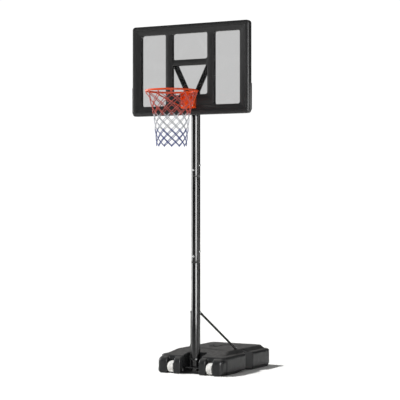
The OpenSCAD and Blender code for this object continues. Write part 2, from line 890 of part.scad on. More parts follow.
// A pressed pan against the board, with a top plate out to the ring
module rim_bracket() {
    half = bracket_w / 2;
    t = bracket_t;
    bottom = bracket_top - bracket_h;
    tip_x = 46; // half the plate's width where it meets the ring
    web_x = 40;
    ring_back = ring_y + ring_r;
    color(orange) difference() {
        union() {
            difference() {
                on_board(field_y, bracket_out) translate([0, bracket_top - bracket_h / 2])
                    round_rect(bracket_w, bracket_h, 8);
                on_board(field_y + eps, bracket_out - t + eps) translate([0, bracket_top - bracket_h / 2])
                    round_rect(bracket_w - 2 * t, bracket_h - 2 * t, 5);
            }
            translate([0, 0, bracket_top - t]) linear_extrude(t) polygon([
                [-half + 8, bracket_front + 1], [half - 8, bracket_front + 1],
                [tip_x, ring_back - 30], [-tip_x, ring_back - 30]
            ]);
            for (side = [-1, 1])
                translate([side * web_x - t / 2, 0, 0]) rotate([90, 0, 90]) linear_extrude(t) polygon([
                    [bracket_front + 1, bracket_top - t], [ring_back - 20, bracket_top - t],
                    [ring_back, rim_h - ring_bar_d / 2 - 6], [bracket_front + 1, bottom + 55]
                ]);
        }
        // clear of the ring's bar, and open inside the ring
        translate([0, ring_y, bracket_top - bracket_h]) cylinder(r = ring_r, h = 2 * bracket_h);
        ring_solid();
        rim_bolt_places() pin_y(0, 0, field_y + eps, bracket_out + 2 * eps, m8_d + 2 * bolt_fit);
    }
}

// The line of a rod from the ring down to a lower corner of the bracket
module rim_brace_line(side, d) {
    top = [side * ring_r * cos(brace_turn), ring_y + ring_r * sin(brace_turn), rim_h];
    foot = [side * (bracket_w / 2 - 9), bracket_front + 4, bracket_top - bracket_h + 13];
    bar(top, foot, d);
}

module rim_brace(side) {
    color(orange) difference() {
        rim_brace_line(side, rim_brace_d);
        ring_solid();
        translate([-board_w / 2, bracket_front, board_bottom]) cube([board_w, frame_depth, board_h]);
    }
}

module rim_brace_left() {
    rim_brace(-1);
}

module rim_brace_right() {
    rim_brace(1);
}

// Wire loops under the ring
module net_hooks() {
    hook_z = rim_h - ring_bar_d / 2;
    color(orange) for (i = [0:hook_count - 1])
        translate([0, ring_y, hook_z]) rotate(i * 360 / hook_count)
            translate([ring_r, 0, 0]) rotate([-90, 0, 90])
                rotate_extrude(angle = 180, $fn = 32)
                    translate([hook_bend_r, 0]) circle(d = hook_wire_d, $fn = 24);
}

module rim_bolts() {
    color(zinc) rim_bolt_places() {
        hex_front(0, 0, bracket_front, m8_head_d, m8_head_h);
        pin_y(0, 0, flange_back + m8_head_h + 4, flange_back + m8_head_h + 4 - bracket_front, m8_d);
    }
}

module rim_nuts() {
    color(zinc) rim_bolt_places() difference() {
        hex_back(0, 0, flange_back, m8_head_d, m8_head_h + 1);
        pin_y(0, 0, flange_back + m8_head_h + 2, m8_head_h + 4, m8_d + 0.1);
    }
}

// The net's plain shape: a thin funnel, open above and below
module net() {
    // radius at each share of the net's length, from the hooks down
    shape = [[0, net_top_r], [0.06, net_top_r - 22], [0.42, 148], [0.84, 128], [1, 123]];
    outer = [for (p = shape) [p[1], net_top - 0.3 - p[0] * net_len]];
    inner = [for (i = [len(shape) - 1:-1:0]) [outer[i][0] - net_wall, outer[i][1]]];
    color("#e4e4ea") difference() {
        translate([0, ring_y, 0]) rotate_extrude() polygon(concat(outer, inner));
        // room for the rods, which pass between the cords
        for (side = [-1, 1]) rim_brace_line(side, rim_brace_d + 2);
    }
}

base_tank();
axle_rod();
axle_washers();
wheel_left();
wheel_right();
fill_cap();
fill_cap_seal();
pole_strap();
pole_strap_bolts();
pole_foot_cap();
strut_left();
strut_right();
strut_pole_bolt();
strut_foot_bolts();
lower_pole();
mid_pole();
mid_clamp_screws();
upper_pole();
upper_clamp_screws();
pole_top_cap();
board_bracket();
bracket_pole_bolts();
board_brace_left();
board_brace_right();
brace_spacers();
brace_bolts();
backboard_frame();
backboard_panel();
panel_screws();
edge_guard_left();
edge_guard_right();
rim_ring();
rim_bracket();
rim_brace_left();
rim_brace_right();
net_hooks();
rim_bolts();
rim_nuts();
net();
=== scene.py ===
import json
import math
import random

import bmesh
import bpy
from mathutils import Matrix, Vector

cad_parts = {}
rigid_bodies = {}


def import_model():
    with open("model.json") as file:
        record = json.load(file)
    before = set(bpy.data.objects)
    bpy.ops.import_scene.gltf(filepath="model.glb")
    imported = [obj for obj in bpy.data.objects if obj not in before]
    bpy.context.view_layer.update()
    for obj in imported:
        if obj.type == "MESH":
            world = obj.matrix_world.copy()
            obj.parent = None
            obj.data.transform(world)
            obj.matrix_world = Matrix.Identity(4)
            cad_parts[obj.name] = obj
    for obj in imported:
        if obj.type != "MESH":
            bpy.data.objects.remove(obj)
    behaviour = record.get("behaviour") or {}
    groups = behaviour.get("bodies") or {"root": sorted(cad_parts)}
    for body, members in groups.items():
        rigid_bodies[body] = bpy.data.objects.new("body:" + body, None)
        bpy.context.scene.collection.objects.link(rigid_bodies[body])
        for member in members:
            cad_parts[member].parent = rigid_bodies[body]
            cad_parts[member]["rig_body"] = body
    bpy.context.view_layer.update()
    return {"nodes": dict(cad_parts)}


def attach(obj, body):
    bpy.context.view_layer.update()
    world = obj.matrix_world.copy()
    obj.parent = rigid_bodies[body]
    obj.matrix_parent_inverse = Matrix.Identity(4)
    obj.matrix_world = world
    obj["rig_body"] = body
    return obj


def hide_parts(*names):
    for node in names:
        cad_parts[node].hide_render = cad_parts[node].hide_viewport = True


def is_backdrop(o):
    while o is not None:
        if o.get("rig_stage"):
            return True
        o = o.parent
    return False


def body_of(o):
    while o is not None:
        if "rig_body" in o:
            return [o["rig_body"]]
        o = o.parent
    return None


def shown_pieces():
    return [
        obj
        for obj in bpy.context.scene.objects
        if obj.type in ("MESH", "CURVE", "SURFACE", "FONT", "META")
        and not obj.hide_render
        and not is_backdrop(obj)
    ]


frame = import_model()
nodes = frame["nodes"]


# working helpers

def deselectAll():
    if bpy.context.object and bpy.context.object.mode != "OBJECT":
        bpy.ops.object.mode_set(mode="OBJECT")
    bpy.ops.object.select_all(action="DESELECT")


def focus(obj, *others):
    deselectAll()
    for each in (obj, *others):
        each.select_set(True)
    bpy.context.view_layer.objects.active = obj
    return obj


def settle(obj, name):
    # its place goes into the mesh and the object back to the origin
    focus(obj)
    bpy.ops.object.transform_apply(location=True, rotation=True, scale=True)
    obj.name = obj.data.name = name
    return obj


def applyModifier(obj, kind, **settings):
    focus(obj)
    modifier = obj.modifiers.new(kind.title(), kind)
    for key, value in settings.items():
        setattr(modifier, key, value)
    bpy.ops.object.modifier_apply(modifier=modifier.name)
    return obj


def pick(obj, kind, test):
    # into edit mode with only what passes the test selected
    focus(obj)
    bpy.ops.object.mode_set(mode="EDIT")
    bpy.ops.mesh.select_mode(type=kind)
    bpy.ops.mesh.select_all(action="DESELECT")
    mesh = bmesh.from_edit_mesh(obj.data)
    for part in list({"VERT": mesh.verts, "EDGE": mesh.edges, "FACE": mesh.faces}[kind]):
        if test(part):
            part.select_set(True)
    mesh.select_flush_mode()
    bmesh.update_edit_mesh(obj.data)


def endEdit():
    bpy.ops.object.mode_set(mode="OBJECT")


def bevelEdges(obj, test, offset, segments):
    pick(obj, "EDGE", test)
    bpy.ops.mesh.bevel(offset=offset, segments=segments, affect="EDGES", clamp_overlap=False)
    endEdit()


def addLoop(obj, point, normal):
    # a new edge loop where the plane meets the piece
    pick(obj, "FACE", lambda face: True)
    bpy.ops.mesh.bisect(plane_co=point, plane_no=normal)
    endEdit()


def resizeVerts(obj, test, factors, centre):
    pick(obj, "VERT", test)
    bpy.ops.transform.resize(value=factors, center_override=centre)
    endEdit()


def moveVerts(obj, test, by):
    pick(obj, "VERT", test)
    bpy.ops.transform.translate(value=by)
    endEdit()


def runsAlong(edge, axis):
    along = (edge.verts[1].co - edge.verts[0].co).normalized()
    return abs(along[axis]) > 0.95


def middle(edge):
    return (edge.verts[0].co + edge.verts[1].co) / 2


def block(name, low, high):
    deselectAll()
    bpy.ops.mesh.primitive_cube_add(size=1, location=[(a + b) / 2 for a, b in zip(low, high)])
    obj = bpy.context.object
    obj.scale = [b - a for a, b in zip(low, high)]
    return settle(obj, name)


def rod(name, start, end, radius, sides=32):
    start, end = Vector(start), Vector(end)
    deselectAll()
    bpy.ops.mesh.primitive_cylinder_add(
        vertices=sides, radius=radius, depth=(end - start).length, location=(start + end) / 2,
        rotation=(end - start).to_track_quat("Z", "Y").to_euler())
    return settle(bpy.context.object, name)


def boolean(obj, cutters, operation="DIFFERENCE"):
    for cutter in cutters:
        applyModifier(obj, "BOOLEAN", operation=operation, object=cutter, solver="EXACT")
        bpy.data.objects.remove(cutter)
    return obj


def join(name, parts):
    focus(parts[0], *parts[1:])
    if len(parts) > 1:
        bpy.ops.object.join()
    parts[0].name = parts[0].data.name = name
    return parts[0]


def cleanMesh(obj, reach=1e-5):
    pick(obj, "VERT", lambda vert: True)
    bpy.ops.mesh.remove_doubles(threshold=reach)
    bpy.ops.mesh.select_all(action="SELECT")
    bpy.ops.mesh.normals_make_consistent(inside=False)
    endEdit()
    return obj


def smoothShade(obj, degrees=35):
    focus(obj)
    bpy.ops.object.shade_smooth_by_angle(angle=math.radians(degrees))
    return obj


def lathe(name, outline, steps):
    # spins an outline of (radius, height) points round Z
    deselectAll()
    bpy.ops.mesh.primitive_plane_add(size=0.001)
    obj = bpy.context.object
    bpy.ops.object.mode_set(mode="EDIT")
    bpy.ops.mesh.select_mode(type="VERT")
    bpy.ops.mesh.select_all(action="SELECT")
    bpy.ops.mesh.merge(type="CENTER")
    bpy.ops.mesh.select_all(action="SELECT")
    bpy.ops.transform.translate(value=(outline[0][0], 0, outline[0][1]))
    for near, far in zip(outline, outline[1:]):
        bpy.ops.mesh.extrude_region_move(
            TRANSFORM_OT_translate={"value": (far[0] - near[0], 0, far[1] - near[1])})
    bpy.ops.mesh.select_all(action="SELECT")
    bpy.ops.mesh.spin(steps=steps, angle=2 * math.pi, center=(0, 0, 0), axis=(0, 0, 1))
    endEdit()
    cleanMesh(obj)
    return settle(obj, name)


def refinedCopy(node, name, edge):
    # the same shape with its triangles merged into faces and its edges broken
    obj = nodes[node].copy()
    obj.data = nodes[node].data.copy()
    for key in list(obj.keys()):
        del obj[key]
    obj.parent = None
    bpy.context.scene.collection.objects.link(obj)
    obj.name = obj.data.name = name
    obj.data.materials.clear()
    pick(obj, "VERT", lambda vert: True)
    bpy.ops.mesh.remove_doubles(threshold=1e-5)
    bpy.ops.mesh.select_all(action="SELECT")
    bpy.ops.mesh.dissolve_limited(angle_limit=math.radians(0.8))
    endEdit()
    if edge:
        applyModifier(obj, "BEVEL", width=edge, segments=2, limit_method="ANGLE",
                      angle_limit=math.radians(32), use_clamp_overlap=True)
    return smoothShade(obj)


# finishes

def hexColour(code):
    parts = [int(code[i:i + 2], 16) / 255 for i in (1, 3, 5)]
    return (*[p / 12.92 if p <= 0.04045 else ((p + 0.055) / 1.055) ** 2.4 for p in parts], 1)


def addNode(tree, kind, links=(), stops=(), values=(), **settings):
    node = tree.nodes.new(kind)
    for key, value in settings.items():
        setattr(node, key, value)
    for key, value in dict(values).items():
        node.inputs[key].default_value = value
    for key, source in dict(links).items():
        tree.links.new(source, node.inputs[key])
    for number, (place, colour) in enumerate(stops):
        ramp = node.color_ramp.elements
        element = ramp[number] if number < 2 else ramp.new(place)
        element.position, element.color = place, hexColour(colour)
    return node


def newMaterial(name, **sockets):
    material = bpy.data.materials.new(name)
    material.use_nodes = True
    tree = material.node_tree
    shader = tree.nodes["Principled BSDF"]
    for key, value in sockets.items():
        shader.inputs[key.replace("_", " ")].default_value = value
    return material, tree, shader


def speckle(tree, size, detail=2.0, rough=0.5):
    # noise whose features are about the given size in metres
    where = addNode(tree, "ShaderNodeTexCoord").outputs["Object"]
    return addNode(tree, "ShaderNodeTexNoise", {"Vector": where},
                   values={"Scale": 1 / size, "Detail": detail, "Roughness": rough})


def streaks(tree, stretch, scale, detail, rough):
    # noise drawn out by different amounts along X, Y and Z
    where = addNode(tree, "ShaderNodeTexCoord").outputs["Object"]
    where = addNode(tree, "ShaderNodeMapping", {"Vector": where}, values={"Scale": stretch})
    return addNode(tree, "ShaderNodeTexNoise", {"Vector": where.outputs["Vector"]},
                   values={"Scale": scale, "Detail": detail, "Roughness": rough})


def spread(tree, source, low, high, fromLow=0.3, fromHigh=0.7):
    limits = {"From Min": fromLow, "From Max": fromHigh, "To Min": low, "To Max": high}
    return addNode(tree, "ShaderNodeMapRange", {"Value": source}, values=limits).outputs["Result"]


def bump(tree, shader, height, distance, strength=1.0, below=None):
    links = {"Height": height}
    if below:
        links["Normal"] = below
    node = addNode(tree, "ShaderNodeBump", links, values={"Distance": distance, "Strength": strength})
    tree.links.new(node.outputs["Normal"], shader.inputs["Normal"])
    return node.outputs["Normal"]


def mixColours(tree, factor, first, second):
    node = addNode(tree, "ShaderNodeMix", {"Factor": factor}, data_type="RGBA")
    for socket, colour in ((6, first), (7, second)):
        if isinstance(colour, str):
            node.inputs[socket].default_value = hexColour(colour)
        else:
            tree.links.new(colour, node.inputs[socket])
    return node.outputs[2]


def paint(tree, shader, factor, first, second):
    tree.links.new(mixColours(tree, factor, first, second), shader.inputs["Base Color"])


def roughen(tree, shader, source, low, high, fromLow=0.3, fromHigh=0.7):
    tree.links.new(spread(tree, source, low, high, fromLow, fromHigh), shader.inputs["Roughness"])


def makeTankPlastic():
    # blow-moulded HDPE: a fine pebbled skin, waves where it shrank in cooling, and a lighter grey on what
    # faces up, partly handling dust and partly painted light falling on the top
    material, tree, shader = newMaterial("blowMouldedHdpe", IOR=1.53)
    pebble = speckle(tree, 0.0012, 3, 0.6)
    coarse = speckle(tree, 0.009, 2, 0.5)  # the pebble again, coarse enough to show from across a court
    wave = speckle(tree, 0.06, 1, 0.4)
    dust = speckle(tree, 0.035, 5, 0.65)
    normal = addNode(tree, "ShaderNodeNewGeometry").outputs["Normal"]
    up = addNode(tree, "ShaderNodeSeparateXYZ", {"Vector": normal}).outputs["Z"]
    # lighter grey on upward faces: part dust, part painted light where the light falls on the top
    dustAndTopLight = addNode(tree, "ShaderNodeMath", {
        0: spread(tree, up, 0, 1, 0.6, 1.0), 1: spread(tree, dust.outputs["Fac"], 0.6, 0.95, 0.4, 0.68)},
        operation="MULTIPLY").outputs["Value"]
    skin = mixColours(tree, spread(tree, wave.outputs["Fac"], 0, 1), "#17181a", "#1e1f20")
    paint(tree, shader, dustAndTopLight, skin, "#575655")
    # the dust takes the gloss off what faces up
    rough = addNode(tree, "ShaderNodeMath", {
        0: spread(tree, coarse.outputs["Fac"], 0.28, 0.4), 1: spread(tree, up, 0, 0.4, 0.5, 0.95)},
        operation="ADD")
    tree.links.new(rough.outputs["Value"], shader.inputs["Roughness"])
    tree.links.new(spread(tree, up, 0.28, 0.02, 0.5, 0.95), shader.inputs["Specular IOR Level"])
    first = bump(tree, shader, wave.outputs["Fac"], 0.0035, 0.5)
    second = bump(tree, shader, coarse.outputs["Fac"], 0.0006, 0.35, first)
    bump(tree, shader, pebble.outputs["Fac"], 0.0002, 0.5, second)
    return material


def makeFramePlastic():
    # injection-moulded polypropylene: leather-fine grain that breaks the shine, faint flow marks
    material, tree, shader = newMaterial("grainedPolypropylene", IOR=1.49)
    grain = speckle(tree, 0.0011, 3, 0.6)
    flow = streaks(tree, (2.0, 8.0, 9.0), 2.5, 3, 0.5)
    coarse = speckle(tree, 0.008, 2, 0.5)  # the grain again, coarse enough to show at this distance
    paint(tree, shader, spread(tree, flow.outputs["Fac"], 0, 1), "#0e0e0f", "#141415")
    roughen(tree, shader, coarse.outputs["Fac"], 0.38, 0.46)
    shader.inputs["Specular IOR Level"].default_value = 0.4
    first = bump(tree, shader, coarse.outputs["Fac"], 0.0004, 0.3)
    bump(tree, shader, grain.outputs["Fac"], 0.00018, 0.5, first)
    return material


def makePowderCoat(name, dark, light, roughness, gloss=0.5):
    # powder coat baked on steel: a deep gloss with the slow dimples of orange peel
    material, tree, shader = newMaterial(name, IOR=1.5)
    peel = speckle(tree, 0.0018, 1.5, 0.4)
    scuff = streaks(tree, (60, 60, 9), 1.0, 4, 0.6)
    paint(tree, shader, spread(tree, scuff.outputs["Fac"], 0, 1, 0.35, 0.75), dark, light)
    roughen(tree, shader, scuff.outputs["Fac"], roughness, roughness + 0.1, 0.4, 0.7)
    shader.inputs["Specular IOR Level"].default_value = gloss
    bump(tree, shader, peel.outputs["Fac"], 0.00005, 0.3)
    return material


def makeZinc():
    # bright zinc plate: cool grey with a slight bluish bloom, rubbed duller in patches
    material, tree, shader = newMaterial("zincPlate", Metallic=1.0)
    bloom = speckle(tree, 0.004, 3, 0.6)
    rub = speckle(tree, 0.0009, 2, 0.6)
    paint(tree, shader, spread(tree, bloom.outputs["Fac"], 0, 1), "#b9bdc1", "#d6d7d3")
    roughen(tree, shader, rub.outputs["Fac"], 0.22, 0.38)
    bump(tree, shader, rub.outputs["Fac"], 0.00006, 0.4)
    return material


def makeWheelPlastic():
    # white HDPE, injection moulded: waxy, slightly see-through, greyed where it has rolled
    material, tree, shader = newMaterial(
        "whiteHdpe", IOR=1.53, Subsurface_Weight=0.12, Subsurface_Scale=0.004)
    shader.inputs["Subsurface Radius"].default_value = (1.0, 0.95, 0.9)
    grime = speckle(tree, 0.006, 4, 0.65)
    fine = speckle(tree, 0.0012, 2, 0.5)
    paint(tree, shader, spread(tree, grime.outputs["Fac"], 0, 0.6, 0.45, 0.75), "#d9d8d5", "#bfbdb8")
    roughen(tree, shader, grime.outputs["Fac"], 0.38, 0.55)
    bump(tree, shader, fine.outputs["Fac"], 0.00012, 0.4)
    return material


def makePanelPlastic():
    # smoky polycarbonate sheet, extruded: clear with a grey tint, a trace of waviness and dust
    material, tree, shader = newMaterial("smokedPolycarbonate", IOR=1.58)
    wave = speckle(tree, 0.12, 1, 0.4)
    dust = speckle(tree, 0.03, 5, 0.7)
    paint(tree, shader, spread(tree, dust.outputs["Fac"], 0, 1), "#1a1b1c", "#242526")
    roughen(tree, shader, dust.outputs["Fac"], 0.07, 0.13)
    shader.inputs["Alpha"].default_value = 0.29
    bump(tree, shader, wave.outputs["Fac"], 0.002, 0.1)
    return material


def makeTrimPlastic():
    # moulded nylon and soft vinyl trims: near black, satin, a little scuffed
    material, tree, shader = newMaterial("mouldedNylon", IOR=1.53)
    grain = speckle(tree, 0.0009, 2, 0.5)
    scuff = speckle(tree, 0.012, 4, 0.65)
    paint(tree, shader, spread(tree, scuff.outputs["Fac"], 0, 1, 0.45, 0.75), "#1a1a1b", "#2b2b2c")
    roughen(tree, shader, scuff.outputs["Fac"], 0.42, 0.58)
    bump(tree, shader, grain.outputs["Fac"], 0.00015, 0.5)
    return material


def makeSealRubber():
    # moulded nitrile rubber: matt black with a chalky bloom
    material, tree, shader = newMaterial("nitrileRubber", IOR=1.5)
    bloom = speckle(tree, 0.005, 4, 0.6)
    paint(tree, shader, spread(tree, bloom.outputs["Fac"], 0, 1), "#121212", "#1f1f1e")
    roughen(tree, shader, bloom.outputs["Fac"], 0.65, 0.8)
    bump(tree, shader, speckle(tree, 0.0007, 2).outputs["Fac"], 0.0001, 0.4)
    return material


def makeCord():
    # braided polyester dyed in three bands, the plait drawn along it with painted shade in its grooves, loose
    # fibres that soften the shine
    material, tree, shader = newMaterial("braidedPolyester", IOR=1.55, Sheen_Weight=0.15, Sheen_Roughness=0.5)
    coordinates = addNode(tree, "ShaderNodeTexCoord")
    height = addNode(tree, "ShaderNodeSeparateXYZ", {"Vector": coordinates.outputs["Object"]}).outputs["Z"]
    fray = addNode(tree, "ShaderNodeMath", {0: speckle(tree, 0.02, 2).outputs["Fac"]}, values={1: 0.03},
                   operation="MULTIPLY").outputs["Value"]
    level = addNode(tree, "ShaderNodeMath", {0: height, 1: fray}, operation="ADD").outputs["Value"]
    share = spread(tree, level, 0, 1, net["bottom"] + 0.015, net["top"] + 0.015)
    bands = addNode(tree, "ShaderNodeValToRGB", {"Fac": share}, stops=(
        (0.0, net["blue"]), (1.0, net["red"]), (0.29, net["blue"]), (0.33, net["white"]),
        (0.57, net["white"]), (0.62, net["red"])))
    strands = []
    for lean in (0.7, -0.7):
        along = addNode(tree, "ShaderNodeMapping", {"Vector": coordinates.outputs["UV"]},
                        values={"Rotation": (0, 0, lean)}).outputs["Vector"]
        strands.append(addNode(tree, "ShaderNodeTexWave", {"Vector": along},
                               values={"Scale": 1.6, "Distortion": 0.4}, bands_direction="X").outputs["Fac"])
    weave = addNode(tree, "ShaderNodeMath", {0: strands[0], 1: strands[1]},
                    operation="MAXIMUM").outputs["Value"]
    # painted shade: the colour darkens in the grooves between the plait's strands
    shade = spread(tree, weave, 0.72, 1.0, 0.2, 0.8)
    tone = addNode(tree, "ShaderNodeVectorMath", {0: bands.outputs["Color"], 1: shade}, operation="MULTIPLY")
    tree.links.new(tone.outputs["Vector"], shader.inputs["Base Color"])
    shader.inputs["Roughness"].default_value = 0.72
    bump(tree, shader, weave, 0.0004, 0.7)
    return material


net = {
    "centreY": -0.400, "hooks": 12, "rows": 12, "pointsPerRow": 4,
    "top": 2.3325, "bottom": 1.9015, "crowding": 0.17,  # how much further apart the upper rows are
    "cord": 0.0033, "knot": 0.0052, "cordSides": 7, "unevenness": 0.0012, "sag": 0.0015, "cross": 0.0010,
    "loopWide": 0.0052, "loopHigh": 0.0062, "loopInset": 0.002, "loopCord": 0.8, "loopSides": 6,
    "clear": 0.0006, "knotClear": 0.0004,  # space kept from the rods under the rim
    "weaveRound": 4, "weaveAlong": 400,  # turns of the plait round a cord, and along a metre of it
    # radius at each share of the way down
    "shape": ((0, 0.2075), (0.06, 0.1865), (0.2, 0.168), (0.42, 0.1455), (0.84, 0.1265), (1, 0.1215)),
    "red": "#ab2a0f", "white": "#b3b6bc", "blue": "#2c3d7e",
}

materials = {
    "tank_plastic": makeTankPlastic(),
    "frame_plastic": makeFramePlastic(),
    "pole_paint": makePowderCoat("blackPowderCoat", "#040405", "#0a0a0b", 0.17),
    "rim_paint": makePowderCoat("orangePowderCoat", "#cc3c02", "#d84a08", 0.34, gloss=0.2),
    "zinc_steel": makeZinc(),
    "wheel_plastic": makeWheelPlastic(),
    "panel_plastic": makePanelPlastic(),
    "trim_plastic": makeTrimPlastic(),
    "seal_rubber": makeSealRubber(),
    "net_cord": makeCord(),
}
print("materials made:", len(materials))


def fit(piece, body, slot, *replaced):
    # finish, body and CAD nodes of a finished piece
    piece.data.materials.clear()
    piece.data.materials.append(materials[slot])
    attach(piece, body)
    if replaced:
        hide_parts(*replaced)
    return piece


# stage, light and camera

stageSet = {
    "floorRadius": 60.0, "floorColour": "#f4f4f2", "lowSky": 0.06, "highSky": 0.27, "seenSky": 1.05,
    "keyStrength": 4.2, "keyAim": (0.580, 0.326, -0.746), "keySpread": 7,  # the spread in degrees
    # place, power and width of each tall bank of light
    "bankHeight": 3.4,
    "banks": {"bankFront": ((3.35, -3.85, 2.4), 560, 3.2), "bankLeft": ((-5.2, -0.5, 2.3), 380, 5.4),
              "bankRight": ((5.6, 1.0, 1.8), 50, 0.9)},
    "cameraPlace": (5.680, -10.035, 1.471), "cameraAim": (-0.490, 0.872, 0), "lens": 123.27, "shift": -0.0039,
}

deselectAll()
bpy.ops.mesh.primitive_circle_add(vertices=96, radius=stageSet["floorRadius"], fill_type="NGON")
floor = settle(bpy.context.object, "studioFloor")
floor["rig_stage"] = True
floorMaterial, tree, shader = newMaterial("matteStudioFloor", Roughness=0.85)
shader.inputs["Base Color"].default_value = hexColour(stageSet["floorColour"])
shader.inputs["Specular IOR Level"].default_value = 0.1
bump(tree, shader, speckle(tree, 0.004, 2).outputs["Fac"], 0.0002, 0.1)
floor.data.materials.append(floorMaterial)

world = bpy.data.worlds.new("paleStudio")
bpy.context.scene.world = world
world.use_nodes = True
tree = world.node_tree
background = tree.nodes["Background"]
# the light comes mostly from overhead, and what the camera sees behind is plain white
towards = addNode(tree, "ShaderNodeTexCoord").outputs["Generated"]
rise = addNode(tree, "ShaderNodeSeparateXYZ", {"Vector": towards}).outputs["Z"]
sky = spread(tree, rise, stageSet["lowSky"], stageSet["highSky"], 0.05, 0.75)
strength = addNode(tree, "ShaderNodeMapRange", {
    "Value": addNode(tree, "ShaderNodeLightPath").outputs["Is Camera Ray"], "To Min": sky},
    values={"To Max": stageSet["seenSky"]})
background.inputs["Color"].default_value = (1, 1, 1, 1)
tree.links.new(strength.outputs["Result"], background.inputs["Strength"])


def addLight(name, kind, place, aim, power, **settings):
    light = bpy.data.lights.new(name, kind)
    light.energy = power
    for key, value in settings.items():
        setattr(light, key, value)
    obj = bpy.data.objects.new(name, light)
    obj.location = place
    obj.rotation_euler = (Vector(aim) - Vector(place)).to_track_quat("-Z", "Y").to_euler()
    obj.visible_camera = False
    bpy.context.scene.collection.objects.link(obj)
    return obj


keyAim = Vector(stageSet["keyAim"])
key = addLight("keyLight", "SUN", -4 * keyAim, (0, 0, 0), stageSet["keyStrength"],
               angle=math.radians(stageSet["keySpread"]))
key.visible_glossy = False
# the banks are seen only as highlights on the pole and along rounded edges
for name, (place, power, wide) in stageSet["banks"].items():
    bank = addLight(name, "AREA", place, (0, 0, place[2]), power, shape="RECTANGLE", size=wide,
                    size_y=stageSet["bankHeight"])
    bank.visible_diffuse = False

cameraData = bpy.data.cameras.new("camera")
camera = bpy.data.objects.new("camera", cameraData)
bpy.context.scene.collection.objects.link(camera)
camera.location = stageSet["cameraPlace"]
camera.rotation_euler = Vector(stageSet["cameraAim"]).to_track_quat("-Z", "Y").to_euler()
cameraData.lens, cameraData.sensor_width = stageSet["lens"], 36
cameraData.shift_y = stageSet["shift"]
cameraData.clip_end = 300
bpy.context.scene.camera = camera
bpy.context.scene.view_settings.view_transform = "Standard"
print("stage, lights and camera placed")


# the ballast tank

tank = {
    "halfWidth": 0.315, "front": -0.070, "back": 0.795, "sideTop": 0.155, "top": 0.186,
    "corner": 0.055, "footInset": 0.012, "footHeight": 0.026, "rim": 0.022,
    "deckHalf": 0.285, "deckFront": -0.052, "deckBack": 0.770, "deckLow": 0.152, "deckCorner": 0.045,
    "plateauHalf": 0.245, "plateauFront": 0.110, "plateauBack": 0.745,
    "lobeFront": -0.115, "lobeTop": 0.140, "lobeRadius": 0.046,
    "lobes": ((0.088, 0.1535), (0.2165, 0.310)), "lobeEdge": 0.010, "outerEdge": 0.034,
    "axleY": -0.066, "axleZ": 0.054, "wellRadius": 0.057, "wheelX": 0.185, "wellHalf": 0.0295,
    "grooveHalf": 0.294, "grooveWide": 0.0116,
    "recessHalf": 0.088, "recessBack": 0.050, "recessCorner": 0.012,
    "tongueTop": 0.018, "tongueFront": -0.105,
    "flutes": (-0.088, -0.062, -0.036, -0.010, 0.016), "fluteRadius": 0.0075,
    "waistFront": 0.290, "waistBack": 0.460, "waistDeep": 0.253, "waistTip": 0.012,
    "waistCorner": 0.009,
    "archY": 0.305, "archLength": 0.28, "archRise": 0.018,
    "fillerX": -0.070, "fillerY": 0.410, "fillerRadius": 0.024,
    # X, Y, length, width and depth of the dishes in the deck
    "dishes": ((0.012, 0.485, 0.24, 0.105, 0.007), (0.135, 0.55, 0.05, 0.045, 0.004)),
    "grip": ((-0.11, 0.775, 0.045), (0.11, 0.83, 0.105)), "gripCorner": 0.02,
    "voxel": 0.0045,
}


def taperedBody():
    t = tank
    body = block("tankBody", (-t["halfWidth"], t["front"], 0), (t["halfWidth"], t["back"], t["sideTop"]))
    bevelEdges(body, lambda e: runsAlong(e, 2), t["corner"], 8)
    addLoop(body, (0, 0, t["footHeight"]), (0, 0, 1))
    span = t["back"] - t["front"]
    resizeVerts(body, lambda v: v.co.z < 0.001,
                (1 - t["footInset"] / t["halfWidth"], 1 - 2 * t["footInset"] / span, 1),
                (0, (t["front"] + t["back"]) / 2, 0))
    bevelEdges(body, lambda e: all(v.co.z > t["sideTop"] - 1e-4 for v in e.verts), t["rim"], 5)
    return body


def deck():
    t = tank
    top = block("tankDeck", (-t["deckHalf"], t["deckFront"], 0.1), (t["deckHalf"], t["deckBack"], t["top"]))
    bevelEdges(top, lambda e: runsAlong(e, 2), t["deckCorner"], 6)
    addLoop(top, (0, 0, t["deckLow"]), (0, 0, 1))
    atTop = lambda v: v.co.z > t["top"] - 1e-4
    centre = (t["deckFront"] + t["deckBack"]) / 2
    shorter = (t["plateauBack"] - t["plateauFront"]) / (t["deckBack"] - t["deckFront"])
    resizeVerts(top, atTop, (t["plateauHalf"] / t["deckHalf"], shorter, 1), (0, centre, 0))
    moveVerts(top, atTop, (0, (t["plateauFront"] + t["plateauBack"]) / 2 - centre, 0))
    bevelEdges(top, lambda e: all(atTop(v) for v in e.verts), 0.004, 2)
    return top


def lobe(low, high):
    t = tank
    piece = block("tankLobe", (low, t["lobeFront"], 0), (high, -0.02, t["lobeTop"]))
    frontEdge = lambda e: middle(e).y < t["lobeFront"] + 1e-4
    bevelEdges(piece, lambda e: frontEdge(e) and middle(e).z > t["lobeTop"] - 1e-4, t["lobeRadius"], 8)
    bevelEdges(piece, lambda e: frontEdge(e) and middle(e).z < 1e-4, 0.012, 3)
    outermost = t["lobes"][-1][-1]
    for end in (low, high):
        onSide = lambda e: all(abs(v.co.x - end) < 1e-4 for v in e.verts) and middle(e).y < -0.03
        bevelEdges(piece, lambda e: onSide(e) and len(e.link_faces) == 2,
                   t["outerEdge"] if abs(end) == outermost else t["lobeEdge"], 5)
    return piece


def wellCutters(side):
    t = tank
    x, half, r = side * t["wheelX"], t["wellHalf"], t["wellRadius"]
    drum = rod("wellDrum", (x - half, t["axleY"], t["axleZ"]), (x + half, t["axleY"], t["axleZ"]), r, 48)
    below = block("wellBelow", (x - half, t["axleY"] - r, -0.01), (x + half, t["axleY"] + r, t["axleZ"]))
    ahead = block("wellAhead", (x - half, -0.2, -0.01), (x + half, t["axleY"], t["axleZ"] + r))
    return [drum, below, ahead]


